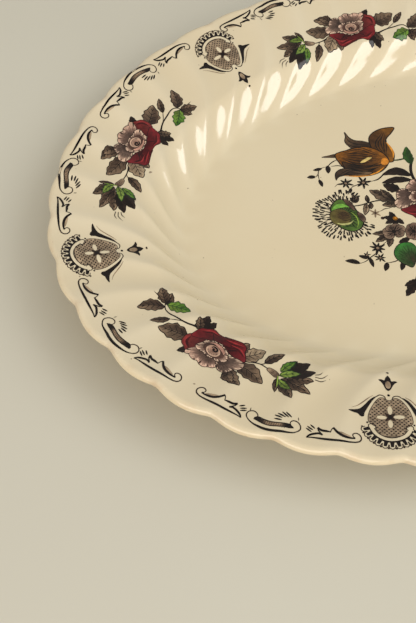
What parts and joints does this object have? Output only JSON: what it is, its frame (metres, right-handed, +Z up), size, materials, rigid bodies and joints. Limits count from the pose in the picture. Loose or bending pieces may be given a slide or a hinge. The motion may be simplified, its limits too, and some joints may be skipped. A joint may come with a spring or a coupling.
{
  "type": "serving platter",
  "caption": "Shallow oval serving platter in glazed cream earthenware, with swirl flutes, a scalloped rim, floral and scroll prints, and a foot ring.",
  "frame": {"origin": "centre of the box on the plane that the foot ring stands on", "axes": "+X along the length of the platter, +Y across its width, +Z up"},
  "size_m": [0.3292, 0.2522, 0.025],
  "materials": {
    "glaze": "clear gloss glaze over cream earthenware",
    "foot": "gloss glaze, worn on the seat",
    "bouquet_enamel": "brown-black print with ochre, green and crimson enamel, gloss",
    "spray_enamel": "brown-black print with crimson and green enamel, gloss",
    "border_ink": "brown-black print, gloss"
  },
  "bodies": {
    "root": {"platter_body": "glaze", "foot_ring": "foot", "centre_bouquet": "bouquet_enamel", "rose_spray_1": "spray_enamel", "rose_spray_2": "spray_enamel", "rose_spray_3": "spray_enamel", "rose_spray_4": "spray_enamel", "rose_spray_5": "spray_enamel", "rose_spray_6": "spray_enamel", "cartouche_1": "border_ink", "cartouche_2": "border_ink", "cartouche_3": "border_ink", "cartouche_4": "border_ink", "cartouche_5": "border_ink", "cartouche_6": "border_ink", "border_scrolls_1": "border_ink", "border_scrolls_2": "border_ink", "border_scrolls_3": "border_ink", "border_scrolls_4": "border_ink", "border_scrolls_5": "border_ink", "border_scrolls_6": "border_ink"}
  },
  "joints": []
}
